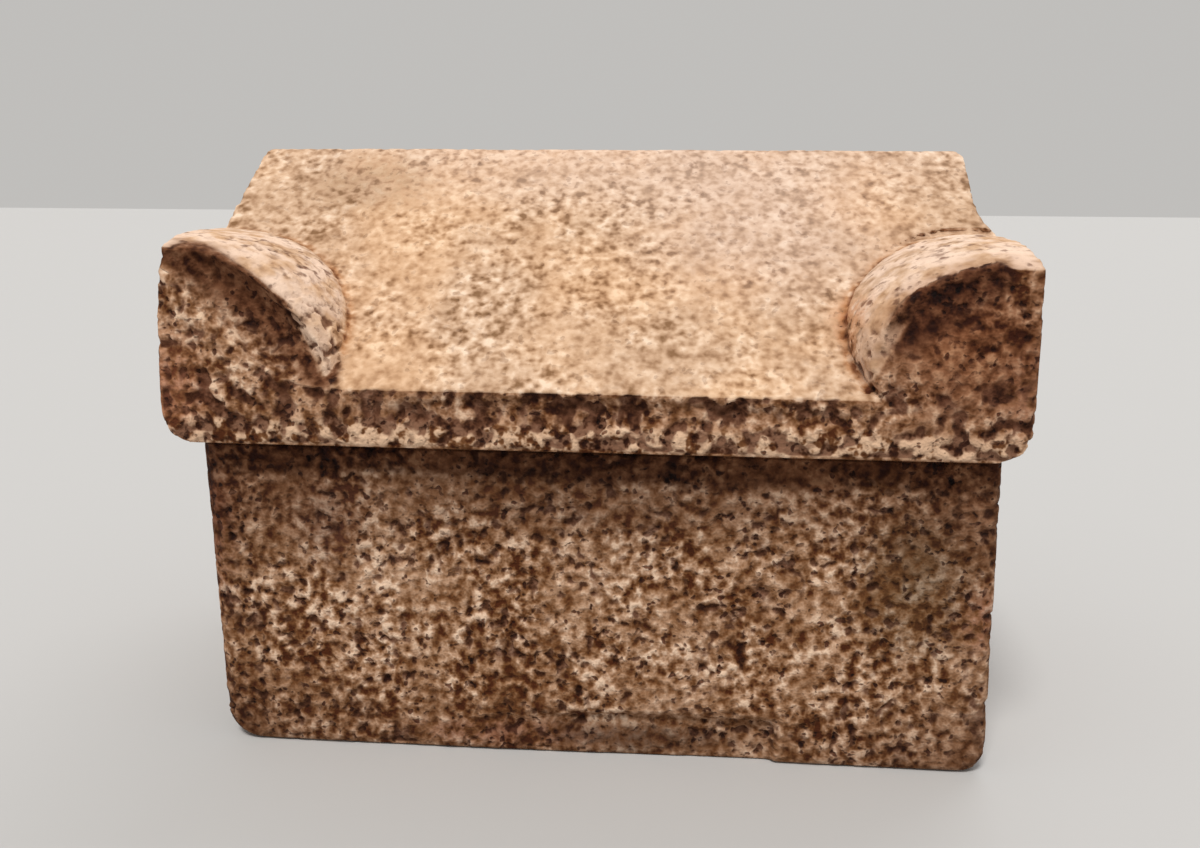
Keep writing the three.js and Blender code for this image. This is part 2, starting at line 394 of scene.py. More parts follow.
@dataclass(frozen=True)
class Bands:
    """Where each noise or mark turns from none to full. The first value may be the higher one."""

    dense: Band = (0.36, 0.62)
    pore: Band = (0.41, 0.29)
    pore_field: Band = (0.36, 0.56)
    spot: Band = (0.45, 0.28)
    spot_field: Band = (0.3, 0.8)
    warmth: Band = (0.4, 0.62)
    crown: Band = (0.36, 0.6)
    bleach: Band = (0.14, 0.46)
    lip: Band = (0.4, 0.52)
    stain_and_shade: Band = (0.42, 0.56)
    shade: Band = (0.0, 1.0)
    halo: Band = (0.3, 0.8)
    halo_crumbs: Band = (0.85, 0.3)
    groove: Band = (0.68, 0.95)
    hollow: Band = (0.2, 0.8)


@dataclass(frozen=True)
class Strengths:
    """How strongly each mark colours the stone, and how far a groove or a crown holds other marks back."""

    crown: float = 0.75
    lip: float = 0.85
    shade: float = 0.95
    scoop_shade: float = 0.9
    crease: float = 0.8
    hollow: float = 0.8
    spot: float = 0.8
    hole: float = 0.9
    groove_over_crease: float = 0.5
    groove_over_hollow: float = 0.7
    roof_over_pores: float = 0.7
    crown_over_pores: float = 0.8
    crown_over_tones: float = 0.4


@dataclass(frozen=True)
class Relief:
    """How the noises add up to the height of the finest relief, and how dull it is."""

    height: float = 0.007
    strength: float = 0.8
    lost_to_bleach: float = 0.7
    specks: float = 0.12
    grit: float = 0.06
    holes: float = 0.3
    roughness: float = 0.84
    grit_roughness: float = 0.16
    specular: float = 0.22


@dataclass(frozen=True)
class Grain:
    """The noises of one material, which its colour and its relief share."""

    broad: Socket
    dense: Socket
    mottle: Socket
    crumb: Socket
    specks: Socket
    grit: Socket
    pores: Socket
    spots: Socket
    slow: Socket


@dataclass(frozen=True)
class Contrast:
    """How far tones spread: in open stone, added where it is dense, and added by its grit."""

    plain: float
    dense: float
    grit: float

    def spread(self, noise_value: Socket, grain: Grain) -> Socket:
        """Tone of each point.

        Args:
            noise_value: the noise that leads.
            grain: the material's noises.

        Returns:
            A value about 0.
        """
        led = (noise_value - MIDDLE) * (self.plain + grain.dense * self.dense)
        return led + grain.slow + (grain.grit - MIDDLE) * self.grit


@dataclass(frozen=True)
class StoneFinish:
    """The finish of one stone.

    Faces are the upright sides, and the sky is what looks up and has bleached. Each has five tones from dark
    to light. Pits are dark inside. The shade tone is painted shade where shade falls: the lid's shadow on the
    chest, its foot and corners, the band under the eave and the scoops. The crease, groove and halo tones
    paint shade into creases and along the horns' grooves, and the pit tone also paints shade into worn
    hollows.
    """

    name: str
    face: tuple[Colour, ...]
    sky: tuple[Colour, ...]
    pit: Colour
    crease: Colour
    groove: Colour
    halo: Colour
    # Tone multiplied in as painted shade: the lid's shadow on the chest, its foot and corners, the band under
    # the eave and the scoops.
    painted_shade: Colour
    lip: Colour
    crown: Colour
    warmth: Colour
    stains_and_shade: tuple[StainAndShade, ...]
    face_stops: tuple[float, ...] = (0.32, 0.41, 0.5, 0.6, 0.7)
    sky_stops: tuple[float, ...] = (0.26, 0.37, 0.48, 0.6, 0.72)
    face_contrast: Contrast = Contrast(0.62, 0.56, 0.1)
    sky_contrast: Contrast = Contrast(0.65, 0.55, 0.08)
    widths: Widths = Widths()
    bands: Bands = Bands()
    strengths: Strengths = Strengths()
    relief: Relief = Relief()
    swirl_reach: float = 0.003
    rough: float = 0.55
    mottle_share: float = 0.34
    broad_share: float = 0.3
    slow_share: float = 0.5
    sky_crumbs: float = 0.25
    spot_crumbs: float = 0.5
    patch_crumbs: float = 0.6

    def grain(self, g: Graph) -> Grain:
        """Adds the noises.

        Args:
            g: the material's graph.

        Returns:
            The noises.
        """
        widths, bands = self.widths, self.bands
        swirl = g.swirled(widths.swirl, self.swirl_reach)
        broad = g.noise(widths.broad)
        dense = g.step(g.noise(widths.dense, 2, self.rough), *bands.dense)
        mottle = g.noise(widths.mottle, 2, self.rough)
        crumb = g.noise(widths.crumb, 2, at=swirl)
        pores = g.step(g.noise(widths.pore, 1, at=swirl), *bands.pore)
        spots = g.step(g.noise(widths.spot, 1.5, self.rough), *bands.spot)
        return Grain(
            broad=broad, dense=dense, mottle=mottle, crumb=crumb,
            specks=g.noise(widths.speck, 1.5, at=swirl),
            grit=g.noise(widths.grit, 1),
            pores=pores * g.step(mottle, *bands.pore_field),
            spots=spots * g.step(dense + crumb * self.spot_crumbs, *bands.spot_field),
            slow=(mottle - MIDDLE) * self.mottle_share + (broad - MIDDLE) * self.broad_share,
        )

    def bare(self, g: Graph, grain: Grain, crown: Socket, bleach: Socket) -> Socket:
        """Colours the clean stone.

        Args:
            g: the material's graph.
            grain: its noises.
            crown: 1 on the horns' tops.
            bleach: 1 where the stone looks up and has bleached.

        Returns:
            The colour.
        """
        face_tone = self.face_contrast.spread(grain.crumb, grain) + MIDDLE
        face = g.tones(face_tone, list(zip(self.face_stops, self.face)))
        calm = 1 - crown * self.strengths.crown_over_tones
        sky_tone = self.sky_contrast.spread(grain.specks, grain) * calm + MIDDLE
        bleached = g.tones(sky_tone, list(zip(self.sky_stops, self.sky)))
        bleached = g.mix(g.step(grain.broad, *self.bands.warmth), bleached, self.warmth, "MULTIPLY")
        pale = crown * g.step(grain.mottle, *self.bands.crown) * self.strengths.crown
        return g.mix(bleach, face, g.mix(pale, bleached, self.crown))

    def stained_and_shaded(self, g: Graph, grain: Grain, colour: Socket) -> Socket:
        """Lays the pale lip, the stains and the patches of painted shade over a colour.

        Args:
            g: the material's graph.
            grain: its noises.
            colour: the clean stone's colour.

        Returns:
            The colour with them.
        """
        lip = g.attribute("lip") * g.step(grain.crumb + grain.slow, *self.bands.lip)
        colour = g.mix(lip * self.strengths.lip, colour, self.lip)
        broken = grain.crumb * self.patch_crumbs + grain.mottle * (1 - self.patch_crumbs)
        patches = g.step(broken, *self.bands.stain_and_shade)
        for stain_and_shade in self.stains_and_shade:
            crumbs = patches * (1 - stain_and_shade.even) + stain_and_shade.even
            share = g.spot(stain_and_shade.centre, stain_and_shade.radii) * crumbs * stain_and_shade.strength
            colour = g.mix(share, colour, stain_and_shade.colour, stain_and_shade.blend)
        return colour

    def build(self) -> bpy.types.Material:
        """Builds the material.

        Returns:
            The material, for the stone's mesh.
        """
        g = Graph(self.name)
        grain = self.grain(g)
        bands, strengths, relief = self.bands, self.strengths, self.relief
        crown, groove = g.attribute("crown"), g.attribute("groove")
        sky = g.attribute("sky") + grain.slow * self.slow_share + (grain.crumb - MIDDLE) * self.sky_crumbs
        bleach = g.step(sky, *bands.bleach)
        roofed = bleach * (1 - crown)
        open_pores = grain.pores * (1 - roofed * strengths.roof_over_pores)
        holes = open_pores * (1 - crown * strengths.crown_over_pores) + grain.spots * crown * strengths.spot
        # Painted shade: the lid's shadow on the chest, the chest's foot and corners, and the band under the
        # lid's eave.
        shade = g.step(g.attribute("shade") + grain.slow * self.slow_share, *bands.shade)
        # Painted shade in creases, held back where a groove has its own.
        crease = g.attribute("crease") * (strengths.crease - groove * strengths.groove_over_crease)
        # Painted shade around the horns' grooves: a soft warm halo, and a dark line in them.
        halo = g.step(groove, *bands.halo) * g.step(grain.crumb, *bands.halo_crumbs)
        line = g.step(groove + grain.slow * self.slow_share, *bands.groove)
        # Painted shade in the hollows that wear cut, held back in the grooves.
        hollow = g.step(g.attribute("hollow"), *bands.hollow) * (1 - groove * strengths.groove_over_hollow)

        colour = self.stained_and_shaded(g, grain, self.bare(g, grain, crown, bleach))
        # Multiplied in turn: painted shade and shadow, painted shade in the scoops, creases, grooves and worn
        # hollows, then the dark pores.
        for share, tone in (
            (shade * strengths.shade, self.painted_shade),
            (g.attribute("scoop_shade") * strengths.scoop_shade, self.painted_shade),
            (crease, self.crease),
            (halo, self.halo),
            (line, self.groove),
            (hollow * strengths.hollow, self.pit),
            (holes * strengths.hole, self.pit),
        ):
            colour = g.mix(share, colour, tone, "MULTIPLY")

        height = grain.crumb * (1 - bleach * relief.lost_to_bleach) + grain.specks * bleach * relief.specks
        height = height + grain.grit * relief.grit - holes * relief.holes
        bump = g.node(
            "ShaderNodeBump", {},
            {"Strength": relief.strength, "Distance": relief.height, "Height": height}, "Normal",
        )
        roughness = relief.roughness + grain.grit * relief.grit_roughness
        g.links.new(colour.socket, g.shader.inputs["Base Color"])
        g.links.new(roughness.socket, g.shader.inputs["Roughness"])
        g.links.new(bump.socket, g.shader.inputs["Normal"])
        g.shader.inputs["Specular IOR Level"].default_value = relief.specular
        return g.material


@dataclass(frozen=True)
class Patches:
    """Slow noise that decides where a wear is strong."""

    width: float
    seed: Number
    band: Band
    least: float = 0.0

    def share(self, rows: np.ndarray) -> np.ndarray:
        """Strength at each vertex, from the least to 1."""
        return self.least + (1 - self.least) * ramp(drift(rows, self.width, self.seed), *self.band)


@dataclass(frozen=True)
class Waver:
    """Slow noise that bends a mark's level up and down."""

    width: float
    seed: Number
    reach: float

    def heights(self, rows: np.ndarray) -> np.ndarray:
        """Height of each vertex, bent by the noise."""
        return rows[:, 2] + self.reach * (drift(rows, self.width, self.seed) - MIDDLE)


@dataclass(frozen=True)
class Scoop:
    """A broken hollow in a front face: an ellipse in the face's plane, tilted about its middle.

    The bands are shares of the ellipse's half sizes.
    """

    middle: tuple[float, float]
    along: float
    across: float
    depth: float
    tilt: float
    rim: Band = (0.9, 1.1)
    shade_band: Band = (-1.0, -0.1)
    foot_width: Band = (0.12, 0.45)
    foot_start: Band = (0.05, 0.4)
    depth_margin: float = 1.2

    def shares(self, rows: np.ndarray) -> tuple[np.ndarray, np.ndarray]:
        """Places vertices in the ellipse.

        Args:
            rows: vertex positions.

        Returns:
            Shares of its half length and half width, the second rising to its upper edge.
        """
        slope = math.radians(self.tilt)
        x = rows[:, 0] - self.middle[0]
        z = rows[:, 2] - self.middle[1]
        along = (x * math.cos(slope) + z * math.sin(slope)) / self.along
        across = (z * math.cos(slope) - x * math.sin(slope)) / self.across
        return along, across

    def in_front(self, rows: np.ndarray, face_y: float) -> np.ndarray:
        """Whether each vertex is no deeper behind the face than the hollow."""
        return rows[:, 1] < face_y + self.depth * self.depth_margin

    def inside(self, rows: np.ndarray, face_y: float) -> np.ndarray:
        """1 in the hollow, 0 outside it."""
        return (1 - ramp(np.hypot(*self.shares(rows)), *self.rim)) * self.in_front(rows, face_y)

    def shade(self, rows: np.ndarray, face_y: float) -> np.ndarray:
        """Painted shade in the hollow: full under its upper edge, fading down to its foot.

        Args:
            rows: vertex positions.
            face_y: where the face stands.

        Returns:
            1 where the painted shade is darkest, 0 outside the hollow.
        """
        return self.inside(rows, face_y) * ramp(self.shares(rows)[1], *self.shade_band)

    def foot(self, rows: np.ndarray, face_y: float) -> np.ndarray:
        """Where the hollow's lower edge runs, which is worn round.

        Args:
            rows: vertex positions.
            face_y: where the face stands.

        Returns:
            1 along that edge, 0 away from it.
        """
        along, across = self.shares(rows)
        away = np.abs(np.hypot(along, across) - 1)
        lower = ramp(-across, *self.foot_start)
        return (1 - ramp(away, *self.foot_width)) * lower * self.in_front(rows, face_y)


@dataclass
class Stone:
    """A stone of the sarcophagus, worked from its solid.

    The zone method gives each vertex its share of pits and the like, and differs between the stones.
    """

    node: str
    name: str
    slot: str
    finish: StoneFinish
    wears: tuple[Wear, ...]
    voxel: float = 0.0025
    quick_voxel: float = 0.006
    most_triangles: int = 196_000
    weight_levels: int = 24
    deep_pit: float = 0.0036
    weld: float = 1e-5
    smooth_factor: float = 0.5
    first_rounds: int = 2
    ease_rounds: int = 24
    edge_rounds: int = 30
    edge_reach: float = 0.0035
    chip_gain: float = 1.6

    def blank(self) -> bpy.types.Object:
        """Copies the stone's solid and remeshes it evenly.

        Returns:
            A closed mesh of even faces with slightly eased edges.
        """
        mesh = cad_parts[self.node].data.copy()
        mesh.materials.clear()
        piece = bpy.data.objects.new(self.name, mesh)
        bpy.context.scene.collection.objects.link(piece)
        select(piece)
        bpy.ops.object.mode_set(mode="EDIT")
        bpy.ops.mesh.select_all(action="SELECT")
        bpy.ops.mesh.remove_doubles(threshold=self.weld)
        bpy.ops.object.mode_set(mode="OBJECT")
        finish_with(piece, "REMESH", mode="VOXEL", voxel_size=self.voxel)
        finish_with(piece, "SMOOTH", factor=self.smooth_factor, iterations=self.first_rounds)
        self.set_group(piece, "eased", self.eased(points_of(piece), normals_of(piece)))
        finish_with(
            piece, "SMOOTH", factor=self.smooth_factor, iterations=self.ease_rounds, vertex_group="eased",
        )
        piece.vertex_groups.clear()
        return piece

    def edges(self, piece: bpy.types.Object) -> np.ndarray:
        """Finds the sharp edges and creases of a mesh, by how far heavy smoothing moves them.

        Args:
            piece: the mesh.

        Returns:
            From 1 on a sharp edge, through 0 on a flat, to -1 in a sharp crease, for each vertex.
        """
        before = points_of(piece)
        outward = normals_of(piece)
        select(piece)
        bpy.ops.object.duplicate()
        softened = bpy.context.active_object
        finish_with(softened, "SMOOTH", factor=self.smooth_factor, iterations=self.edge_rounds)
        moved = ((before - points_of(softened)) * outward).sum(axis=1)
        bpy.data.objects.remove(softened)
        return np.clip(moved / self.edge_reach, -1, 1)

    def eased(self, rows: np.ndarray, outward: np.ndarray) -> np.ndarray:
        """Where edges are worn round before anything else. Nowhere, unless a stone gives its own."""
        return np.zeros(len(rows))

    def zones(self, rows: np.ndarray, outward: np.ndarray, edge: np.ndarray) -> dict[str, np.ndarray]:
        """Weights of the vertex groups that the wears use. Each stone gives its own."""
        raise NotImplementedError

    def marks(self, rows: np.ndarray, outward: np.ndarray) -> dict[str, np.ndarray]:
        """Values for the finish, such as shade and crowns. Each stone gives its own."""
        raise NotImplementedError

    def set_group(self, piece: bpy.types.Object, name: str, weights: np.ndarray) -> None:
        """Gives the piece a vertex group, in steps of weight."""
        group = piece.vertex_groups.new(name=name)
        level = np.rint(np.clip(weights, 0, 1) * self.weight_levels).astype(int)
        for value in range(1, self.weight_levels + 1):
            group.add(np.nonzero(level == value)[0].tolist(), value / self.weight_levels, "REPLACE")

    def keep(self, piece: bpy.types.Object, name: str, values: np.ndarray) -> None:
        """Stores a value at each vertex for the finish."""
        layer = piece.data.attributes.new(name, "FLOAT", "POINT")
        layer.data.foreach_set("value", np.clip(values, 0, 1).astype(np.float32))

    def wear_down(self, piece: bpy.types.Object) -> None:
        """Wears the piece, stores its marks, thins its mesh and holds it inside its solid's box."""
        rows = points_of(piece)
        outward = normals_of(piece)
        edge = self.edges(piece)
        for name, weights in self.zones(rows, outward, edge).items():
            self.set_group(piece, name, weights)
        for wear in self.wears:
            wear.apply(piece)
        lost = ((rows - points_of(piece)) * outward).sum(axis=1)
        piece.vertex_groups.clear()
        # The depth that wear cut and the creases carry painted shade; the upward facing carries the bleach.
        marks = {"hollow": lost / self.deep_pit, "sky": outward[:, 2], "crease": -edge}
        for name, values in {**marks, **self.marks(rows, outward)}.items():
            self.keep(piece, name, values)
        triangles = sum(len(face.vertices) - 2 for face in piece.data.polygons)
        if triangles > self.most_triangles:
            finish_with(piece, "DECIMATE", ratio=self.most_triangles / triangles)
        lowest, highest = (np.array(corner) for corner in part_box(self.node))
        place_points(piece, np.clip(points_of(piece), lowest, highest))

    def build(self) -> bpy.types.Object:
        """Makes the stone and puts it in its solid's place.

        Returns:
            The finished piece.
        """
        piece = self.blank()
        self.wear_down(piece)
        select(piece)
        bpy.ops.object.shade_smooth()
        piece.data.materials.append(self.finish.build())
        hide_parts(self.node)
        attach(piece, "root")
        LOG.info("%s: %d triangles", self.name, len(piece.data.polygons))
        return piece


@dataclass
class Chest(Stone):
    """The hollow trough that the lid lies on.

    Bands are distances from the rim, the foot or a corner, in metres, apart from the facing, which is a part
    of a normal. The values of painted shade and painted shadow are strengths.
    """

    foot_band: float = 0.006
    rim_band: float = 0.004
    upright_facing: Band = (0.1, 0.5)
    rim_shade: Band = (0.05, 0.02)
    foot_shade: Band = (0.02, 0.1)
    lid_shade: Band = (0.16, 0.03)
    corner_shade: float = 0.17
    # Strengths of painted shade at the foot and towards the corners, and of the lid's painted shadow.
    foot_painted_shade: float = 0.34
    corner_painted_shade: float = 0.28
    lid_painted_shadow: float = 0.5
    pit_patches: Patches = Patches(0.06, 3, (0.3, 0.62), 0.3)
    chip_patches: Patches = Patches(0.04, 8, (0.45, 0.65))
    waver: Waver = Waver(0.05, 21, 0.02)

    def outside(self, rows: np.ndarray, outward: np.ndarray) -> np.ndarray:
        """Which vertices look away from the chest's middle."""
        lowest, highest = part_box(self.node)
        middle = (lowest + highest) / 2
        return (outward[:, 0] * (rows[:, 0] - middle.x) + outward[:, 1] * (rows[:, 1] - middle.y)) > 0

    def zones(self, rows: np.ndarray, outward: np.ndarray, edge: np.ndarray) -> dict[str, np.ndarray]:
        """Pits cover the outside and stop at the underside and the rim. The inside is dressed plain.

        Args:
            rows: vertex positions.
            outward: their normals.
            edge: 1 on sharp edges.

        Returns:
            Weights by group name.
        """
        lowest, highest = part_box(self.node)
        upright = ramp(1 - np.abs(outward[:, 2]), *self.upright_facing)
        off_ground = ramp(rows[:, 2], lowest.z, lowest.z + self.foot_band)
        below_rim = 1 - ramp(rows[:, 2], highest.z - self.rim_band, highest.z)
        skin = off_ground * below_rim * upright * self.outside(rows, outward)
        chips = np.clip(edge * self.chip_gain, 0, 1) * self.chip_patches.share(rows)
        return {
            "skin": skin,
            "pitted": skin * self.pit_patches.share(rows),
            "chipped": off_ground * below_rim * chips,
        }

    def marks(self, rows: np.ndarray, outward: np.ndarray) -> dict[str, np.ndarray]:
        """Painted shade outside: the lid's shadow under the rim, and some at the foot and the corners.

        Args:
            rows: vertex positions.
            outward: their normals.

        Returns:
            Values by attribute name.
        """
        lowest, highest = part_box(self.node)
        height = self.waver.heights(rows)
        under_rim = highest.z - height
        # A band of the lid's painted shadow under the rim, and broader painted shade under the lid, at the
        # foot and corners.
        rim = ramp(under_rim, *self.rim_shade)
        under_lid = ramp(under_rim, *self.lid_shade)
        foot = 1 - ramp(height - lowest.z, *self.foot_shade)
        inward_x = np.minimum(rows[:, 0] - lowest.x, highest.x - rows[:, 0])
        inward_y = np.minimum(rows[:, 1] - lowest.y, highest.y - rows[:, 1])
        corner = 1 - ramp(np.maximum(inward_x, inward_y), 0.0, self.corner_shade)
        broad = self.foot_painted_shade * foot + self.corner_painted_shade * corner + self.lid_painted_shadow * under_lid
        shade = np.maximum(rim, broad) * self.outside(rows, outward)
        none = np.zeros(len(rows))
        return {"shade": shade, "scoop_shade": none, "groove": none, "crown": none, "lip": none}


@dataclass
class Lid(Stone):
    """The gabled lid with a quarter-round horn at each corner.

    Bands are heights or distances in metres, apart from those of facings, which are parts of a normal.
    """

    eave: float = 0.056
    ridge_half_width: float = 0.0055
    seat_band: float = 0.003
    on_roof: Band = (0.012, 0.004)
    above_roof: Band = (0.004, 0.012)
    roof_facing: Band = (0.35, 0.6)
    crown_facing: Band = (0.3, 0.6)
    top_facing: Band = (0.3, 0.75)
    upright_facing: Band = (0.3, 0.7)
    side_facing: Band = (0.4, 0.8)
    horn_start: float = 0.19
    end_margin: float = 0.01
    side_margin: float = 0.007
    wall_lift: Band = (0.004, 0.013)
    wall_facing: float = 0.3
    groove_lift: Band = (0.009, 0.002)
    groove_span: float = 0.01
    groove_reach: float = 0.016
    groove_cut: Band = (0.6, 0.97)
    groove_eased: Band = (0.1, 0.35)
    groove_facing: Band = (0.1, 0.4)
    strip_starts: tuple[float, float] = (0.241, 0.249)
    strip_lean: float = 0.57
    strip_edge: Band = (0.004, -0.005)
    strip_foot: Band = (0.0, 0.012)
    strip_top: Band = (0.085, 0.05)
    strip_depth: float = 0.03
    strip_sky: float = 0.5
    strip_crown: float = 0.7
    lip_height: float = 0.019
    ledge: Band = (0.009, 0.003)
    ledge_side: Band = (0.03, 0.02)
    pale_height: float = 0.024
    pale_fade: float = 0.005
    lip_facing: Band = (0.1, 0.5)
    shade_fade: float = 0.008
    shade_top: float = 0.004
    shade_ends: Band = (0.27, 0.2)
    shade_strength: float = 0.2
    band_sky: float = 0.2
    band_top: Band = (-0.006, -0.002)
    lumps_over_eave: float = 1.5
    roof_without_pits: float = 0.92
    top_without_pits: float = 0.45
    pit_patches: Patches = Patches(0.055, 5, (0.3, 0.62), 0.3)
    chip_patches: Patches = Patches(0.035, 11, (0.45, 0.65))
    groove_patches: Patches = Patches(0.02, 13, (0.35, 0.6), 0.75)
    waver: Waver = Waver(0.02, 31, 0.014)
    scoops: tuple[Scoop, ...] = ()

    def over_eave(self, rows: np.ndarray) -> np.ndarray:
        """Height of each vertex above the eave."""
        return rows[:, 2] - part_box(self.node)[0].z - self.eave

    def over_roof(self, rows: np.ndarray) -> np.ndarray:
        """Height of each vertex above the roof slope at its distance from the ridge."""
        lowest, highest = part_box(self.node)
        slope = (highest.z - lowest.z - self.eave) / (highest.y - self.ridge_half_width)
        return self.over_eave(rows) - slope * (highest.y - np.abs(rows[:, 1]))

    def roof(self, rows: np.ndarray, outward: np.ndarray) -> np.ndarray:
        """1 on the roof slopes, 0 on the horns, the bands and the underside."""
        return ramp(np.abs(self.over_roof(rows)), *self.on_roof) * ramp(outward[:, 2], *self.roof_facing)

    def crown(self, rows: np.ndarray, outward: np.ndarray) -> np.ndarray:
        """1 on the horns' rounded tops."""
        return ramp(self.over_roof(rows), *self.above_roof) * ramp(outward[:, 2], *self.crown_facing)

    def groove(self, rows: np.ndarray, outward: np.ndarray) -> np.ndarray:
        """Finds the line where the horns stand on the roof.

        Args:
            rows: vertex positions.
            outward: their normals.

        Returns:
            1 along that line, falling to 0 at the groove's reach, as seen from above.
        """
        end, side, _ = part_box(self.node)[1]
        lift = self.over_roof(rows)
        inside_end = np.abs(rows[:, 0]) < end - self.end_margin
        inside_side = np.abs(rows[:, 1]) < side - self.side_margin
        by_horn = inside_end & inside_side & (np.abs(rows[:, 0]) > self.horn_start)
        plan = rows * (1, 1, 0)
        low, high = self.wall_lift
        looks_in = outward[:, 1] * np.sign(rows[:, 1]) < self.wall_facing
        walls = np.nonzero((lift > low) & (lift < high) & by_horn & looks_in)[0]
        tree = kdtree.KDTree(len(walls))
        for index in walls:
            tree.insert(plan[index], int(index))
        tree.balance()
        near = np.zeros(len(rows))
        for index in np.nonzero((np.abs(lift) < self.groove_span) & by_horn)[0]:
            near[index] = 1 - tree.find(plan[index])[2] / self.groove_reach
        return np.clip(near, 0, 1) * ramp(lift, *self.groove_lift)

    def strip(self, rows: np.ndarray, outward: np.ndarray) -> np.ndarray:
        """Finds the strip of a front horn's worn edge that stays pale down to the eave.

        Args:
            rows: vertex positions.
            outward: their normals.

        Returns:
            1 in the strip, 0 outside it.
        """
        height = self.over_eave(rows)
        away = np.abs(rows[:, 0])
        edge = np.where(rows[:, 0] < 0, *self.strip_starts) + self.strip_lean * height
        share = ramp(away - edge, *self.strip_edge) * (away > self.horn_start)
        share = share * ramp(height, *self.strip_foot) * ramp(height, *self.strip_top)
        in_front = rows[:, 1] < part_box(self.node)[0].y + self.strip_depth
        return share * in_front * (1 - self.roof(rows, outward))

    def eased(self, rows: np.ndarray, outward: np.ndarray) -> np.ndarray:
        """The scoops' lower edges, the grooves and the ledge above the band's foot are worn round.

        Args:
            rows: vertex positions.
            outward: their normals.

        Returns:
            1 where the edge is worn round.
        """
        lowest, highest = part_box(self.node)
        ledge = ramp(np.abs(rows[:, 2] - lowest.z - self.lip_height), *self.ledge)
        outer = ramp(highest.y - np.abs(rows[:, 1]), *self.ledge_side)
        feet = [place.foot(rows, lowest.y) for place in self.scoops]
        grooves = ramp(self.groove(rows, outward), *self.groove_eased)
        return np.max([*feet, ledge * outer, grooves], axis=0)

    def zones(self, rows: np.ndarray, outward: np.ndarray, edge: np.ndarray) -> dict[str, np.ndarray]:
        """Pits are coarse on the upright faces, few on the horns' tops and slight on the roof.

        Args:
            rows: vertex positions.
            outward: their normals.
            edge: 1 on sharp edges.

        Returns:
            Weights by group name.
        """
        lowest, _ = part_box(self.node)
        above_seat = ramp(rows[:, 2], lowest.z, lowest.z + self.seat_band)
        roof = self.roof(rows, outward)
        top = ramp(outward[:, 2], *self.top_facing) * (1 - roof)
        pitted = (1 - self.roof_without_pits * roof) * (1 - self.top_without_pits * top)
        band = ramp(self.over_eave(rows), self.eave * (self.lumps_over_eave - 1), 0.0)
        chips = np.clip(edge * self.chip_gain, 0, 1) * self.chip_patches.share(rows)
        return {
            "skin": above_seat,
            "pitted": above_seat * pitted * self.pit_patches.share(rows),
            "roof_skin": above_seat * roof,
            "lumpy": above_seat * (1 - roof) * band * ramp(np.abs(outward[:, 1]), *self.side_facing),
            "chipped": above_seat * chips,
            "grooved": ramp(self.groove(rows, outward), *self.groove_cut),
        }

    def marks(self, rows: np.ndarray, outward: np.ndarray) -> dict[str, np.ndarray]:
        """Finds painted shade in scoops, grooves and under the eave, pale crowns and the band's pale foot.

        Args:
            rows: vertex positions.
            outward: their normals.

        Returns:
            Values by attribute name.
        """
        lowest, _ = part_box(self.node)
        height = self.waver.heights(rows) - lowest.z
        pale, fade = self.pale_height, self.pale_fade
        below_lip = ramp(height, pale + fade, pale - fade)
        below_eave = ramp(height, self.eave, self.eave - self.shade_top)
        hollow = ramp(height, pale, pale + self.shade_fade) * below_eave
        between_horns = ramp(np.abs(rows[:, 0]), *self.shade_ends)
        upright = ramp(1 - np.abs(outward[:, 2]), *self.upright_facing)
        scooped = np.max([place.inside(rows, lowest.y) for place in self.scoops], axis=0)
        # Painted shade in the scoops, darkest under their upper edges.
        scoop_shade = np.max([place.shade(rows, lowest.y) for place in self.scoops], axis=0)
        above_band = ramp(self.over_eave(rows), *self.band_top)
        strip = self.strip(rows, outward)
        # No bleach in the scoops, so that their painted shade shows, and less on the band below the eave.
        sky = outward[:, 2] * (1 - scooped) * (self.band_sky + (1 - self.band_sky) * above_band)
        groove = self.groove(rows, outward) * self.groove_patches.share(rows)
        return {
            "sky": np.maximum(sky, self.strip_sky * strip),
            # Painted shade on the upper part of the band, under the eave, between the horns.
            "shade": hollow * between_horns * upright * self.shade_strength,
            "scoop_shade": scoop_shade * (1 - strip),
            # Painted shade along the horns' grooves, where the surface looks up.
            "groove": groove * ramp(outward[:, 2], *self.groove_facing),
            "crown": np.maximum(self.crown(rows, outward), self.strip_crown * strip),
            "lip": below_lip * ramp(1 + outward[:, 2], *self.lip_facing),
        }


@dataclass(frozen=True)
class Camera:
    """The camera at the photograph's viewing angle."""

    place: tuple[float, float, float] = (0.0939, -1.2336, 0.5403)
    turn: float = 4.705
    tip: float = 11.668
    roll: float = 0.439
    lens: float = 32.127
    sensor: float = 36.0

    def build(self) -> None:
        """Makes the camera and looks through it."""
        bpy.ops.object.camera_add()
        made = bpy.context.active_object
        made.name = "camera"
        made.data.lens = self.lens
        made.data.sensor_width = self.sensor
        turned = (
            Matrix.Rotation(math.radians(self.turn), 4, "Z")
            @ Matrix.Rotation(math.radians(90 - self.tip), 4, "X")
            @ Matrix.Rotation(math.radians(self.roll), 4, "Z")
        )
        made.matrix_world = Matrix.Translation(self.place) @ turned
        bpy.context.scene.camera = made


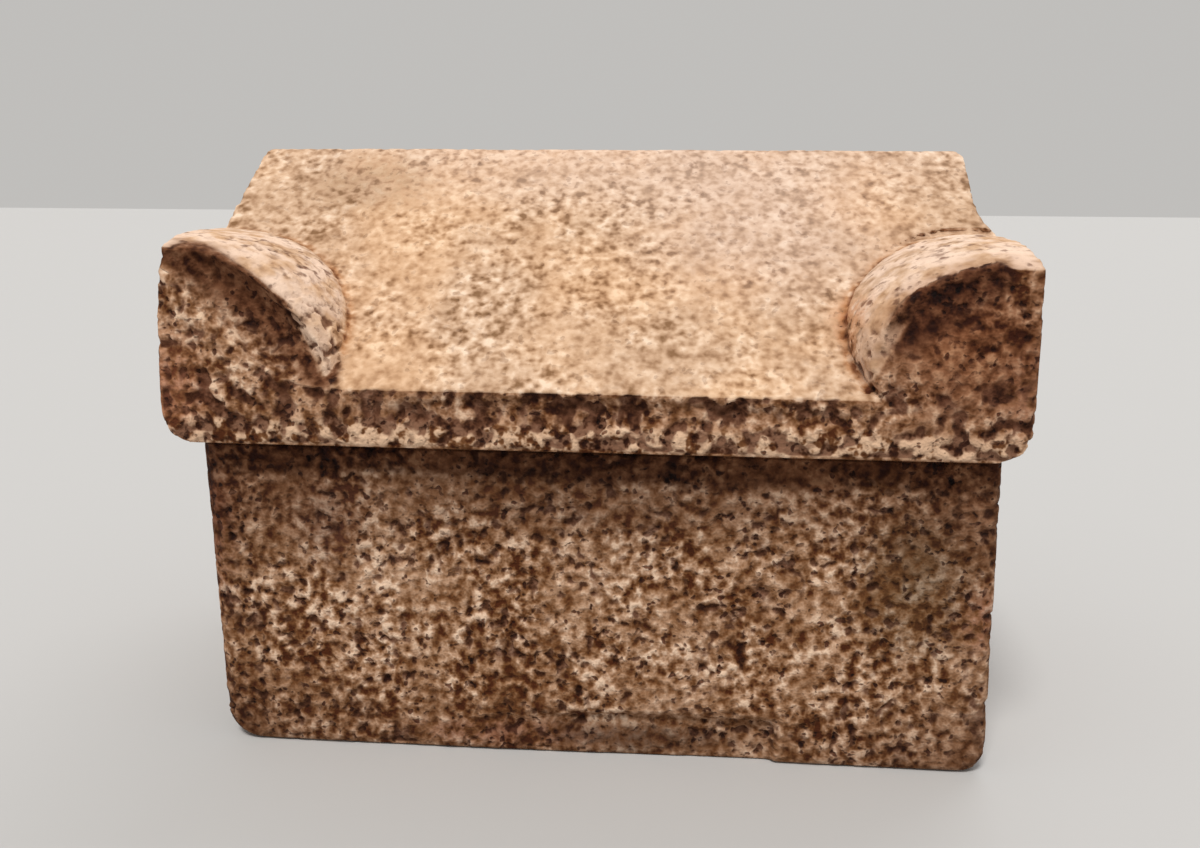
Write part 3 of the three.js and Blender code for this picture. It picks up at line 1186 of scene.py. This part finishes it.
@dataclass(frozen=True)
class Lamp:
    """One broad soft light, far away, that shines from a compass turn and a height above the horizon."""

    name: str
    turn: float
    height: float
    strength: float
    softness: float
    colour: Colour = (1.0, 1.0, 1.0)
    distance: float = 3.0

    def build(self) -> None:
        """Makes the light. Turn 0 shines from the front and 90 from the right, in degrees."""
        turn, height = math.radians(self.turn), math.radians(self.height)
        level = math.cos(height)
        source = Vector((math.sin(turn) * level, -math.cos(turn) * level, math.sin(height)))
        angles = source.to_track_quat("Z", "Y").to_euler()
        bpy.ops.object.light_add(type="SUN", location=source * self.distance, rotation=angles)
        made = bpy.context.active_object
        made.name = self.name
        made.data.angle = math.radians(self.softness)
        made.data.energy = self.strength
        made.data.color = self.colour


@dataclass(frozen=True)
class Studio:
    """A plain pale floor under plain soft light."""

    floor_size: float = 120.0
    floor_tone: Colour = (0.5, 0.5, 0.5)
    floor_roughness: float = 0.9
    sky_tone: Colour = (0.96, 0.94, 0.91)
    sky_strength: float = 0.55
    lamps: tuple[Lamp, ...] = (
        Lamp("key", -14, 60, 2.35, 14, (1.0, 0.965, 0.92)),
        Lamp("back_fill", 160, 48, 0.7, 40),
    )

    def build(self) -> None:
        """Makes the floor, the sky and the lamps."""
        bpy.ops.mesh.primitive_plane_add(size=self.floor_size)
        floor = bpy.context.active_object
        floor.name = "floor"
        graph = Graph("floor_paint")
        graph.shader.inputs["Base Color"].default_value = (*self.floor_tone, 1)
        graph.shader.inputs["Roughness"].default_value = self.floor_roughness
        floor.data.materials.append(graph.material)
        world = bpy.data.worlds.new("studio_sky")
        world.use_nodes = True
        background = world.node_tree.nodes["Background"]
        background.inputs["Color"].default_value = (*self.sky_tone, 1)
        background.inputs["Strength"].default_value = self.sky_strength
        bpy.context.scene.world = world
        for lamp in self.lamps:
            lamp.build()
        bpy.context.scene.view_settings.view_transform = "Standard"


CHEST_FINISH = StoneFinish(
    name="chest_stone_finish",
    face=(srgb(72, 32, 6), srgb(110, 70, 38), srgb(149, 110, 80), srgb(187, 150, 122), srgb(224, 194, 168)),
    sky=(srgb(96, 60, 34), srgb(140, 102, 72), srgb(170, 132, 102), srgb(200, 165, 136), srgb(222, 194, 168)),
    # Pit tone: the pores' own dark, also multiplied into worn hollows as painted shade.
    pit=srgb(106, 58, 22),
    # Crease, groove and halo tones paint shade into creases and along grooves.
    crease=srgb(158, 122, 98),
    groove=srgb(138, 100, 74),
    halo=srgb(229, 196, 160),
    # Painted shade tone: the lid's shadow under the rim and the darker foot and corners.
    painted_shade=srgb(141, 110, 84),
    lip=srgb(214, 182, 154),
    crown=srgb(214, 182, 154),
    warmth=srgb(252, 243, 230),
    stains_and_shade=(
        StainAndShade((-0.372, -0.262, 0.22), (0.04, 0.05, 0.12), srgb(128, 62, 40), 0.5),
        StainAndShade((-0.25, -0.262, 0.235), (0.06, 0.05, 0.06), srgb(112, 78, 64), 0.5, 0.5),
        StainAndShade((0.375, -0.262, 0.16), (0.03, 0.05, 0.05), srgb(142, 70, 46), 0.45),
        # Painted shade on the right end of the front, for light from the left.
        StainAndShade((0.31, -0.262, 0.19), (0.08, 0.05, 0.11), srgb(84, 62, 34), 0.6, 0.5),
        StainAndShade((-0.08, -0.262, 0.02), (0.16, 0.05, 0.022), srgb(150, 96, 80), 0.4),
        StainAndShade((0.05, -0.25, 0.02), (0.14, 0.05, 0.026), srgb(72, 44, 28), 0.75, 0.6),
        # Painted shadow of the lid along the front, under the rim.
        StainAndShade((0.0, -0.262, 0.27), (0.32, 0.05, 0.06), srgb(90, 60, 42), 0.4, 0.6),
    ),
)

LID_FINISH = StoneFinish(
    name="lid_stone_finish",
    face=(srgb(76, 36, 10), srgb(115, 75, 44), srgb(155, 114, 84), srgb(190, 151, 122), srgb(224, 192, 164)),
    sky=(
        srgb(132, 98, 68), srgb(170, 135, 106), srgb(198, 165, 136), srgb(216, 186, 159), srgb(232, 207, 183),
    ),
    # Pit tone: the pores' own dark, also multiplied into worn hollows as painted shade.
    pit=srgb(110, 62, 26),
    # Crease, groove and halo tones paint shade into creases and along grooves.
    crease=srgb(172, 130, 100),
    groove=srgb(138, 100, 74),
    halo=srgb(229, 196, 160),
    # Painted shade tone: the band under the eave and the scoops.
    painted_shade=srgb(142, 108, 80),
    lip=srgb(216, 182, 152),
    crown=srgb(234, 208, 189),
    warmth=srgb(254, 245, 233),
    stains_and_shade=(
        StainAndShade((-0.395, -0.281, 0.37), (0.06, 0.06, 0.07), srgb(176, 104, 76), 0.4, 0.3),
        StainAndShade((0.395, -0.281, 0.38), (0.04, 0.06, 0.06), srgb(140, 76, 46), 0.4),
        # Painted shade on the right horn's front face, for light from the left.
        StainAndShade((0.34, -0.281, 0.42), (0.13, 0.06, 0.12), srgb(188, 160, 140), 1.0, 1.0, "MULTIPLY"),
        StainAndShade((0.245, -0.22, 0.44), (0.03, 0.06, 0.05), srgb(186, 122, 74), 0.55),
        StainAndShade((0.04, -0.02, 0.6), (0.5, 0.13, 0.13), srgb(224, 199, 184), 0.45, 0.6),
        StainAndShade((0.17, -0.12, 0.52), (0.2, 0.17, 0.13), srgb(216, 191, 178), 0.4, 0.6),
        StainAndShade((-0.26, -0.05, 0.56), (0.1, 0.08, 0.06), srgb(160, 124, 88), 0.55),
        StainAndShade((-0.13, -0.225, 0.47), (0.07, 0.05, 0.04), srgb(170, 124, 84), 0.5),
    ),
)

# The scoops' places are those of the hollows in the lid's solid, from its end and its eave.
LID_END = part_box("lid")[1].x
LID_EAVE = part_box("lid")[0].z + Lid.eave

STONES = (
    Chest(
        node="chest", name="pitted_chest", slot="chest_stone", finish=CHEST_FINISH,
        wears=(
            Wear("chest_swell", "skin", 0.06, 0.0007, (0.25, 0.75)),
            Wear("chest_chips", "chipped", 0.016, 0.002, (0.4, 0.6), Basis.IMPROVED, octaves=2),
            Wear("chest_scars", "pitted", 0.024, 0.0014, (0.33, 0.48), octaves=2),
            Wear("chest_pits", "pitted", 0.0092, 0.0028, (0.32, 0.48)),
        ),
    ),
    Lid(
        node="lid", name="horned_lid", slot="lid_stone", finish=LID_FINISH,
        scoops=(
            Scoop((-LID_END + 0.094, LID_EAVE + 0.066), 0.099, 0.031, 0.026, -40),
            Scoop((-LID_END + 0.034, LID_EAVE + 0.112), 0.036, 0.012, 0.012, -18),
            Scoop((LID_END - 0.084, LID_EAVE + 0.082), 0.062, 0.03, 0.011, 34),
        ),
        wears=(
            Wear("horn_grooves", "grooved", 0.02, 0.0014, (0.9, 1.0)),
            Wear("lid_swell", "skin", 0.08, 0.0007, (0.25, 0.75)),
            Wear("lid_lumps", "lumpy", 0.015, 0.003, (0.35, 0.58), octaves=1),
            Wear("lid_chips", "chipped", 0.016, 0.0015, (0.4, 0.6), Basis.IMPROVED, octaves=2),
            Wear("lid_scars", "pitted", 0.022, 0.0012, (0.33, 0.48), octaves=2),
            Wear("lid_pits", "pitted", 0.009, 0.0026, (0.32, 0.48)),
            Wear("roof_grain", "roof_skin", 0.009, 0.0006, (0.3, 0.55), octaves=2),
        ),
    ),
)


def main() -> None:
    """Builds the view and the stones, and writes how large the result is."""
    logging.basicConfig(level=logging.INFO, format="%(message)s")
    Camera().build()
    Studio().build()
    for stone in STONES:
        stone.build()


if __name__ == "__main__":
    main()
